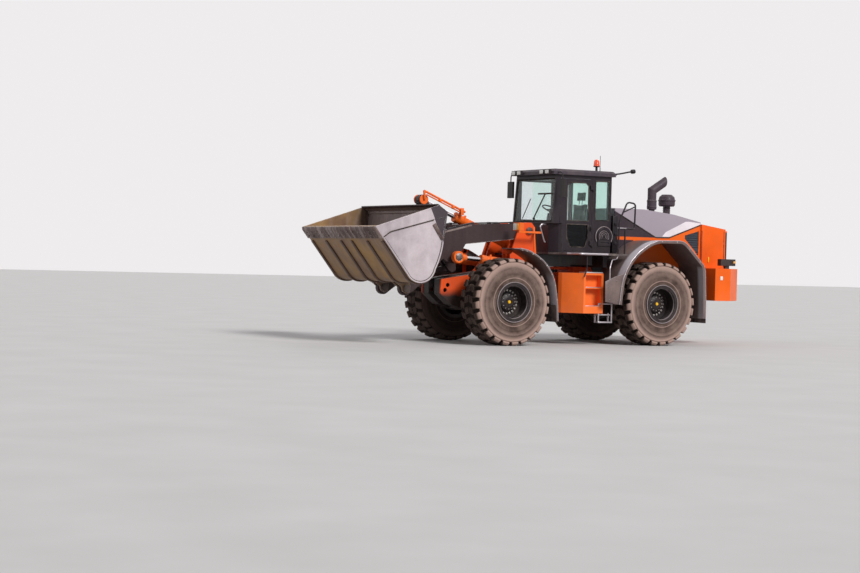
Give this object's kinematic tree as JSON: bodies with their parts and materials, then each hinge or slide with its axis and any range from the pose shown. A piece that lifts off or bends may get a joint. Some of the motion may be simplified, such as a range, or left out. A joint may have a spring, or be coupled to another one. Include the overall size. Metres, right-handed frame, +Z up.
{
  "type": "articulated wheel loader",
  "caption": "Hinged four-wheel loading machine with a steel bucket on a lifting boom, a glazed cab and a rear engine.",
  "frame": {"origin": "on the ground under the middle of the whole machine", "axes": "+X forward, +Y to the driver's left, +Z up"},
  "size_m": [9.08, 3.1, 3.84],
  "materials": {
    "tyre_rubber": "worn rubber",
    "rim_paint": "satin paint",
    "axle_paint": "satin paint",
    "frame_orange": "satin paint",
    "fender_dark": "matt",
    "lamp": "clear lens",
    "boom_paint": "satin paint",
    "pin_steel": "bare",
    "bucket_steel": "worn bare steel",
    "cylinder_orange": "satin paint",
    "rod_chrome": "polished",
    "frame_dark": "satin paint",
    "counterweight_paint": "painted",
    "engine_grey": "matt",
    "hood_grey": "satin paint",
    "tail_orange": "satin paint",
    "grille_dark": "matt",
    "stack_dark": "satin paint",
    "deck_dark": "satin paint",
    "rail_steel": "satin",
    "cab_dark": "satin paint",
    "cab_glass": "tinted",
    "chair_black": "matt",
    "console_black": "matt",
    "beacon_amber": "amber",
    "tail_red": "red and amber",
    "mirror_black": "gloss"
  },
  "bodies": {
    "rear": {"rear_frame": "frame_orange", "rear_rails": "frame_orange", "cross_beams": "frame_dark", "counterweight": "counterweight_paint", "engine_block": "engine_grey", "hood": "hood_grey", "rear_housing": "tail_orange", "exhaust_stack": "stack_dark", "pre_cleaner": "stack_dark", "rear_fenders": "fender_dark", "tanks": "frame_orange", "steps": "frame_dark", "platform": "deck_dark", "handrails": "rail_steel", "cab_shell": "cab_dark", "cab_glass": "cab_glass", "cab_roof": "cab_dark", "operator_chair": "chair_black", "steering_console": "console_black", "work_lamps": "lamp", "beacon": "beacon_amber", "mirrors": "mirror_black", "tail_lamps": "tail_red", "rear_axle": "axle_paint", "drive_shaft_rear": "frame_dark"},
    "front": {"front_frame": "frame_orange", "towers": "frame_orange", "tower_cheeks": "frame_orange", "front_axle": "axle_paint", "front_fenders": "fender_dark", "head_lamps": "lamp", "drive_shaft_front": "frame_dark"},
    "boom": {"boom": "boom_paint"},
    "bucket_pins": {"bucket_pins": "pin_steel"},
    "bucket": {"bucket": "bucket_steel", "bucket_edge": "bucket_steel"},
    "crank_pin": {"crank_pin": "pin_steel"},
    "bell_crank": {"bell_crank": "boom_paint"},
    "link_pin": {"link_pin": "pin_steel"},
    "bucket_link": {"bucket_link": "boom_paint"},
    "lift_barrels": {"lift_barrels": "cylinder_orange"},
    "lift_rods": {"lift_rods": "rod_chrome"},
    "tilt_pin": {"tilt_pin": "pin_steel"},
    "tilt_barrel": {"tilt_barrel": "cylinder_orange"},
    "tilt_rod": {"tilt_rod": "rod_chrome"},
    "steer_barrel_left": {"steer_barrel_left": "cylinder_orange"},
    "steer_barrel_right": {"steer_barrel_right": "cylinder_orange"},
    "steer_rod_left": {"steer_rod_left": "rod_chrome"},
    "steer_rod_right": {"steer_rod_right": "rod_chrome"},
    "cab_door": {"cab_door": "cab_dark", "door_glass": "cab_glass"},
    "rear_grille": {"rear_grille": "grille_dark"},
    "wheel_front_left": {"tyre_front_left": "tyre_rubber", "rim_front_left": "rim_paint"},
    "wheel_front_right": {"tyre_front_right": "tyre_rubber", "rim_front_right": "rim_paint"},
    "wheel_rear_left": {"tyre_rear_left": "tyre_rubber", "rim_rear_left": "rim_paint"},
    "wheel_rear_right": {"tyre_rear_right": "tyre_rubber", "rim_rear_right": "rim_paint"}
  },
  "joints": [
    {"name": "steering", "type": "hinge", "parent": "rear", "child": "front", "pos_m": [-0.36, 0, 1.06], "axis": [0, 0, 1], "range_deg": [-37, 37]},
    {"name": "boom_lift", "type": "hinge", "parent": "front", "child": "boom", "pos_m": [0.54, 0, 2.25], "axis": [0, -1, 0], "range_deg": [-15, 64]},
    {"name": "bucket_level", "type": "hinge", "parent": "boom", "child": "bucket_pins", "pos_m": [3.29, 0, 1.06], "axis": [0, 1, 0], "range_deg": [-11, 45.3]},
    {"name": "bucket_tilt", "type": "hinge", "parent": "bucket_pins", "child": "bucket", "pos_m": [3.29, 0, 1.06], "axis": [0, 1, 0], "range_deg": [0, 110]},
    {"name": "crank_level", "type": "hinge", "parent": "boom", "child": "crank_pin", "pos_m": [2.4, 0, 2.08], "axis": [0, -1, 0], "range_deg": [-2.75, 10.11]},
    {"name": "crank_turn", "type": "hinge", "parent": "crank_pin", "child": "bell_crank", "pos_m": [2.4, 0, 2.08], "axis": [0, -1, 0], "range_deg": [-0.5, 55.93]},
    {"name": "link_level", "type": "hinge", "parent": "bucket", "child": "link_pin", "pos_m": [3.007, 0, 1.343], "axis": [0, -1, 0], "range_deg": [-11.11, 45.76]},
    {"name": "link_turn", "type": "hinge", "parent": "link_pin", "child": "bucket_link", "pos_m": [3.007, 0, 1.343], "axis": [0, -1, 0], "range_deg": [-0.5, 96.78]},
    {"name": "lift_cylinder", "type": "hinge", "parent": "front", "child": "lift_barrels", "pos_m": [0.39, 0, 1.56], "axis": [0, -1, 0], "range_deg": [-12.48, 51.63]},
    {"name": "lift_stroke", "type": "slide", "parent": "lift_barrels", "child": "lift_rods", "axis": [0.9975, 0, 0.0705], "range_m": [-0.144, 0.598]},
    {"name": "tilt_pin_turn", "type": "hinge", "parent": "front", "child": "tilt_pin", "pos_m": [0.64, 0, 1.95], "axis": [0, -1, 0], "range_deg": [-14.48, 60.16]},
    {"name": "tilt_cylinder", "type": "hinge", "parent": "tilt_pin", "child": "tilt_barrel", "pos_m": [0.64, 0, 1.95], "axis": [0, -1, 0], "range_deg": [-0.5, 7.1]},
    {"name": "tilt_stroke", "type": "slide", "parent": "tilt_barrel", "child": "tilt_rod", "axis": [0.9257, 0, 0.3783], "range_m": [-0.6214, 0.005]},
    {"name": "steer_cylinder_left", "type": "hinge", "parent": "rear", "child": "steer_barrel_left", "pos_m": [-1.06, 0.47, 1.015], "axis": [0, 0, 1], "range_deg": [-7.89, 7.89]},
    {"name": "steer_stroke_left", "type": "slide", "parent": "steer_barrel_left", "child": "steer_rod_left", "axis": [0.9889, -0.1489, 0], "range_m": [-0.2303, 0.2303]},
    {"name": "steer_cylinder_right", "type": "hinge", "parent": "rear", "child": "steer_barrel_right", "pos_m": [-1.06, -0.47, 1.015], "axis": [0, 0, 1], "range_deg": [-7.89, 7.89]},
    {"name": "steer_stroke_right", "type": "slide", "parent": "steer_barrel_right", "child": "steer_rod_right", "axis": [0.9889, 0.1489, 0], "range_m": [-0.2303, 0.2303]},
    {"name": "cab_door_hinge", "type": "hinge", "parent": "rear", "child": "cab_door", "pos_m": [-0.84, 0.762, 2.6], "axis": [0, 0, 1], "range_deg": [0, 90]},
    {"name": "grille_hinge", "type": "hinge", "parent": "rear", "child": "rear_grille", "pos_m": [-4.372, 0.656, 2], "axis": [0, 0, -1], "range_deg": [0, 100]},
    {"name": "wheel_front_left", "type": "hinge", "parent": "front", "child": "wheel_front_left", "pos_m": [1.415, 1.115, 0.847], "axis": [0, 1, 0], "continuous": true},
    {"name": "wheel_front_right", "type": "hinge", "parent": "front", "child": "wheel_front_right", "pos_m": [1.415, -1.115, 0.847], "axis": [0, 1, 0], "continuous": true},
    {"name": "wheel_rear_left", "type": "hinge", "parent": "rear", "child": "wheel_rear_left", "pos_m": [-2.135, 1.115, 0.847], "axis": [0, 1, 0], "continuous": true},
    {"name": "wheel_rear_right", "type": "hinge", "parent": "rear", "child": "wheel_rear_right", "pos_m": [-2.135, -1.115, 0.847], "axis": [0, 1, 0], "continuous": true}
  ],
  "couplings": [
    {"joint": "bucket_level", "follows": "boom_lift", "ratio": 0.7},
    {"joint": "crank_level", "follows": "boom_lift", "ratio": 0.1502},
    {"joint": "crank_turn", "follows": "bucket_tilt", "ratio": 0.5039},
    {"joint": "link_level", "follows": "boom_lift", "ratio": 0.7072},
    {"joint": "link_turn", "follows": "bucket_tilt", "ratio": 0.8753},
    {"joint": "lift_cylinder", "follows": "boom_lift", "ratio": 0.799},
    {"joint": "lift_stroke", "follows": "boom_lift", "m_per_rad": 0.5309},
    {"joint": "tilt_pin_turn", "follows": "boom_lift", "ratio": 0.9321},
    {"joint": "tilt_cylinder", "follows": "bucket_tilt", "ratio": 0.06},
    {"joint": "tilt_stroke", "follows": "bucket_tilt", "m_per_rad": -0.3211},
    {"joint": "steer_cylinder_left", "follows": "steering", "ratio": 0.1998},
    {"joint": "steer_stroke_left", "follows": "steering", "m_per_rad": -0.3488},
    {"joint": "steer_cylinder_right", "follows": "steering", "ratio": 0.1998},
    {"joint": "steer_stroke_right", "follows": "steering", "m_per_rad": 0.3488}
  ]
}
